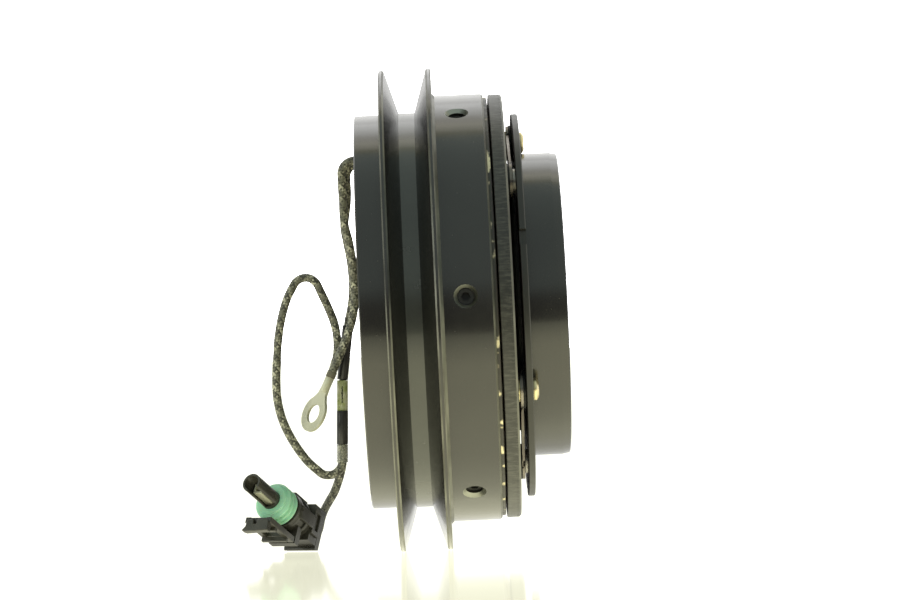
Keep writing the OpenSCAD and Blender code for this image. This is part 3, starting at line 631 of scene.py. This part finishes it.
def collar(radii, stations, sides=48):
    """Closed ring round the connector's axis, from a loop of radii and stations."""
    n = len(radii)
    verts = [(r * math.cos(2 * math.pi * k / sides), r * math.sin(2 * math.pi * k / sides), z)
             for k in range(sides) for r, z in zip(radii, stations)]
    faces = [(k * n + i, k * n + (i + 1) % n, (k + 1) % sides * n + (i + 1) % n, (k + 1) % sides * n + i)
             for k in range(sides) for i in range(n)]
    return verts, faces


def connector_piece(name, parts, body, width):
    """One piece from bars, prisms and rings in the connector's frame, with rounded edges."""
    verts, faces = [], []
    for part_verts, part_faces in parts:
        faces += [tuple(i + len(verts) for i in f) for f in part_faces]
        verts += [connector_frame @ Vector(v) * MM for v in part_verts]
    obj = finished(name, mesh_from(name, verts, faces), body, connector_plastic)
    round_edges(obj, width)
    return obj


latch_head = [
    (-4.8, 13.0), (-3.7, 11.6), (-3.4, 9.4), (-1.2, 8.9), (-0.9, 10.8), (0.1, 10.8), (0.4, 9.2), (3.2, 8.9),
    (4.6, 9.8), (4.8, 12.9), (-3.4, 13.4),
]
# The bars overlap, because bars that only share corners come out of the bevel with stray points
latch = connector_piece("latch_arm", [
    bar(8, 10, -4.8, -2.8, -10.9, 4.4), bar(8, 10, 2.8, 4.8, -10.9, 4.4),
    bar(8.1, 9.9, -3.1, 3.1, -10.8, -6.5), bar(8.1, 9.9, -3.1, 3.1, 1.5, 4.3),
    prism(latch_head, 3.4, 5.4),
    bar(9.7, 11.2, -4.7, 4.7, -0.6, 0.9), bar(9.7, 11.4, -4.7, 4.7, -7.8, -6.6),
], "latch", 0.22)
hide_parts("connector_latch")
details = connector_piece("housing_details", [
    collar((5.7, 6.5, 6.5, 5.7), (-8.3, -8.3, -6.9, -6.9)),
    bar(-5.2, -3.6, 5.7, 6.5, -21.4, -16.9), bar(2.2, 3.8, 5.7, 6.5, -21.4, -16.9),
    bar(-3.8, 2.4, 5.6, 6.4, -18.1, -17.0), bar(-3.8, 2.4, 5.6, 6.4, -21.3, -20.3),
    bar(-6.9, -5.4, -2.6, 2.6, -16.9, -9.0),
    bar(-2.2, 2.2, 5.2, 6.6, -16.9, -9.0), bar(-2.2, 2.2, -6.6, -5.2, -16.9, -9.0),
], "field", 0.15)

# ---- Leads: the routes of the CAD source, in millimetres ----

LEAD_D = 2.7
ROUTES = {
    "ground_lead": [
        (-1, 7.8, 48.4), (-2.4, 7.8, 48.6), (-3.8, 7.8, 48.4), (-5, 7.9, 47.8), (-6, 8, 46.8),
        (-6.65, 8.2, 45.5), (-6.85, 8.5, 44.1), (-6.85, 9.3, 39.5), (-6.75, 9.9, 36), (-6.85, 10.6, 32),
        (-6.6, 11.35, 27.7), (-5.6, 12.15, 22.9), (-4.8, 13.25, 16.5), (-4.5, 14.4, 9), (-4.6, 14.4, 4),
        (-5.6, 14.4, -1.5), (-7.3, 14.4, -6.5), (-9.6, 14.4, -11.8), (-11.6, 14.4, -16),
        (-12.9, 14.4, -18.6),
    ],
    "power_lead": [
        (-1, 10.9, 47.8), (-2.4, 10.9, 47.6), (-3.6, 11, 46.9), (-4.6, 11.1, 45.9), (-5.25, 11.4, 44.7),
        (-5.45, 11.6, 43.3), (-5.4, 12.2, 39.5), (-5.6, 12.8, 36), (-6.2, 13.5, 32),
        (-6.9, 14.25, 27.7), (-6.3, 15.05, 22.9), (-5.4, 16.15, 16.5), (-5.1, 17.6, 9.5),
        (-5.7, 18.9, 3.5), (-6.7, 20, -1), (-7.4, 20.2, -4), (-10, 20.2, -21.4),
    ],
    "diode_lead": [
        (-10.8, 18.8, -39.4), (-11, 18.8, -43), (-11.3, 18.8, -47.5), (-11.6, 18.8, -49.2),
        (-12.6, 18.7, -50.6), (-14, 18.5, -51.6), (-15.7, 18.2, -51.9), (-17.4, 17.9, -51.6),
        (-18.8, 17.6, -50.6), (-22.8, 16.8, -46.5), (-26.9, 16, -40), (-29.7, 15.6, -33.4),
        (-31, 15.4, -26.9), (-31.1, 15.4, -20.4), (-30.6, 15.6, -14), (-29.9, 15.8, -7.5),
        (-28.6, 16, -1), (-26.6, 16.4, 5.2), (-24.1, 16.7, 9.8), (-23.1, 16.8, 11), (-21.7, 16.9, 11.8),
        (-20.2, 16.9, 12), (-18.7, 17, 11.7), (-17.4, 17, 10.75), (-16.5, 17.1, 9.5),
        (-15.3, 17.2, 6.6), (-13.3, 17.2, 1.8), (-11.7, 17.2, -3), (-11, 17.2, -8), (-11.3, 17.2, -13),
        (-12.9, 17.2, -18.6),
    ],
    "connector_lead": [
        (-10.5, 21.6, -32), (-11, 21.6, -41), (-11.3, 21.6, -48), (-12.4, 22.6, -52.5),
        (-14.4, 25.2, -57.5), (-16.6, 28.3, -61), (-18.4, 30.7, -64), (-19.5, 31.9, -66.8),
        (-20, 31.5, -68.8),
        (-20.5, 30.6, -70.4), (-21.3, 29.1, -71.4), (-22.3, 27.4, -71.6), (-23.1, 25.9, -71),
        (-25.46, 21.65, -68.33), (-27.8, 17.5, -65.6),
    ],
}
# What is on the far end of each lead, and the nodes that go with it
FAR_ENDS = {
    "ground_lead": ("fitting", ["ring_terminal", "terminal_collar"]),
    "power_lead": ("fitting", ["splice_sleeve", "splice_crimp"]),
    "diode_lead": ("object", ["diode_sleeve", "diode", "clear_sleeve"]),
    "connector_lead": ("connector", ["connector_housing", "connector_seal", "connector_contact",
                                     "wire_seal", "connector_lock"]),
}
for name, route in ROUTES.items():
    mesh, path = braided_cord(name + "_braid", route, LEAD_D, braid)
    obj = finished(name + "_braid", mesh, "field", braid, 60)
    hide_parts(name)
    far_end, pieces = FAR_ENDS[name]
    pieces = [nodes[p] for p in pieces] + ([latch, details] if name == "connector_lead" else [])

# ---- Floor, backdrop and light ----

FLOOR_GAP = 0.0001
FLOOR_Z = cad_box[0].z - FLOOR_GAP
FLOOR_REACH = 4
TABLE_FRONT = -0.35
FLOOR_SEEN = (0.222, 0.222, 0.174)
FLOOR_STRENGTH = 3.4
floor_corners = (
    (-FLOOR_REACH, TABLE_FRONT), (FLOOR_REACH, TABLE_FRONT), (FLOOR_REACH, FLOOR_REACH),
    (-FLOOR_REACH, FLOOR_REACH),
)
floor_mesh = mesh_from("floor", [(x, y, FLOOR_Z) for x, y in floor_corners], [(0, 1, 2, 3)])
floor = bpy.data.objects.new("floor", floor_mesh)
bpy.context.scene.collection.objects.link(floor)
floor_look = Shader("floor")
floor_path = floor_look.node("ShaderNodeLightPath").outputs["Is Camera Ray"]
floor_look.set(Base_Color=(0.02, 0.02, 0.02), Roughness=0.09, IOR=1.35)
# The glow changes along Y over this length. It starts between the camera and the clutch. Metres.
GLOW_START = -0.32
GLOW_LENGTH = 0.4
from_start = floor_look.math("MULTIPLY", floor_look.axes()[1], 1 / GLOW_LENGTH)
table_y = floor_look.math("ADD", from_start, -GLOW_START / GLOW_LENGTH)
table_glow = floor_look.ramp(
    table_y,
    (0.0, (0.33, 0.32, 0.225)), (0.14, (0.38, 0.37, 0.26)), (0.40, (0.60, 0.58, 0.40)),
    (0.62, (0.62, 0.60, 0.42)), (0.76, (0.52, 0.51, 0.37)), (0.84, (0.29, 0.285, 0.235)),
    (0.95, (0.21, 0.21, 0.195)),
)
floor_look.set(Emission_Color=floor_look.mix(floor_path, table_glow, FLOOR_SEEN))
floor_look.set(Emission_Strength=FLOOR_STRENGTH)
floor_mesh.materials.append(floor_look.material)

SKY_STRENGTH = 4.0
BACKDROP = (1.0, 1.0, 0.99)
world = bpy.data.worlds.new("studio")
bpy.context.scene.world = world
world.use_nodes = True
tree = world.node_tree
background = next(n for n in tree.nodes if n.type == "BACKGROUND")


def sky_node(kind, **settings):
    made = tree.nodes.new(kind)
    for key, value in settings.items():
        setattr(made, key, value)
    return made


split = sky_node("ShaderNodeSeparateXYZ")
tree.links.new(sky_node("ShaderNodeTexCoord").outputs["Generated"], split.inputs[0])
forward = sky_node("ShaderNodeMath", operation="MULTIPLY")
forward.inputs[1].default_value = -1
tree.links.new(split.outputs[1], forward.inputs[0])
elevation = sky_node("ShaderNodeMath", operation="ARCTAN2")
tree.links.new(split.outputs[2], elevation.inputs[0])
tree.links.new(forward.outputs[0], elevation.inputs[1])
turn = sky_node("ShaderNodeMapRange")
turn.inputs["From Min"].default_value = -math.pi
turn.inputs["From Max"].default_value = math.pi
tree.links.new(elevation.outputs[0], turn.inputs["Value"])
sky = sky_node("ShaderNodeValToRGB")
# Degrees round the axis of the clutch: 0 is the camera's side, 90 is straight up, 180 is the backdrop
SKY = (
    (-180, (0.19, 0.19, 0.185)), (-90, (0.16, 0.16, 0.14)), (-12, (0.025, 0.025, 0.025)),
    (4, (0.04, 0.04, 0.04)), (14, (0.125, 0.145, 0.138)), (104, (0.155, 0.178, 0.165)),
    (107, (0.17, 0.165, 0.105)), (113, (0.20, 0.19, 0.125)), (115, (0.34, 0.32, 0.23)),
    (118, (0.17, 0.16, 0.115)), (122, (0.15, 0.14, 0.11)), (127, (0.26, 0.26, 0.24)),
    (138, (0.28, 0.28, 0.27)), (150, (0.37, 0.37, 0.36)), (165, (0.34, 0.34, 0.33)),
    (180, (0.19, 0.19, 0.187)),
)
band = sky.color_ramp
while len(band.elements) < len(SKY):
    band.elements.new(1)
for element, (degrees, colour) in zip(band.elements, SKY):
    element.position = (degrees + 180) / 360
    element.color = (*colour, 1)
tree.links.new(turn.outputs[0], sky.inputs[0])
choose = sky_node("ShaderNodeMix", data_type="RGBA")
tree.links.new(sky_node("ShaderNodeLightPath").outputs["Is Camera Ray"], choose.inputs[0])
tree.links.new(sky.outputs[0], choose.inputs[6])
choose.inputs[7].default_value = (*BACKDROP, 1)
tree.links.new(choose.outputs[2], background.inputs[0])
background.inputs[1].default_value = SKY_STRENGTH


def area_light(name, place, aim, size, power, colour=(1, 1, 1)):
    """Rectangular lamp that faces a point. Metres and watts."""
    data = bpy.data.lights.new(name, "AREA")
    data.shape = "RECTANGLE"
    data.size, data.size_y = size
    data.energy = power
    data.color = colour
    lamp = bpy.data.objects.new(name, data)
    bpy.context.scene.collection.objects.link(lamp)
    lamp.location = place
    lamp.rotation_mode = "QUATERNION"
    lamp.rotation_quaternion = (Vector(aim) - Vector(place)).to_track_quat("-Z", "Y")


area_light("top", place=(0.05, 0.55, 0.85), aim=(0.02, 0, 0), size=(1.2, 0.6), power=1.6)
area_light("left", place=(-1.1, -0.5, 0.25), aim=(0, 0, 0), size=(0.3, 0.9), power=3,
           colour=(1.0, 0.99, 0.95))

bpy.context.scene.view_settings.view_transform = "Standard"
